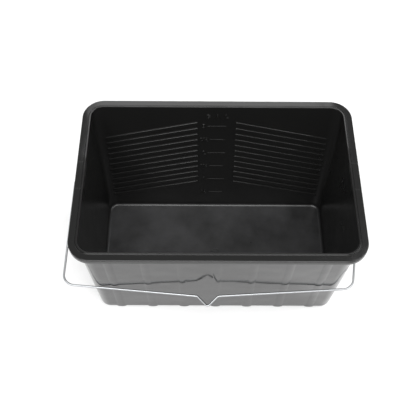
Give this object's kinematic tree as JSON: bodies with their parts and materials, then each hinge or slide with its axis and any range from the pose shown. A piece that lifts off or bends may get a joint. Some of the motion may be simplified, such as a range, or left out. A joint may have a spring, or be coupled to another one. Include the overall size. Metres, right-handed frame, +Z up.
{
  "type": "paint roller bucket",
  "caption": "Rectangular plastic paint bucket for a roller, with a flanged rim, roll-off ribs, a level scale and a swinging wire bail.",
  "frame": {"origin": "middle of the flat base, on the surface it stands on", "axes": "+X along the width, +Y towards the ribbed roll-off wall, +Z up out of the opening; the bail rests on the -Y wall"},
  "size_m": [0.3899, 0.246, 0.214],
  "materials": {
    "black_plastic": "injection-moulded black polypropylene, glossy with a faint haze",
    "galvanised_wire": "bright drawn galvanised steel wire"
  },
  "bodies": {
    "bucket_body": {"bucket": "black_plastic"},
    "bail_body": {"bail": "galvanised_wire"}
  },
  "joints": [
    {"name": "bail_swing", "type": "hinge", "parent": "bucket_body", "child": "bail_body", "pos_m": [0, -0.003, 0.198], "axis": [-1, 0, 0], "range_deg": [0, 271.5]}
  ]
}
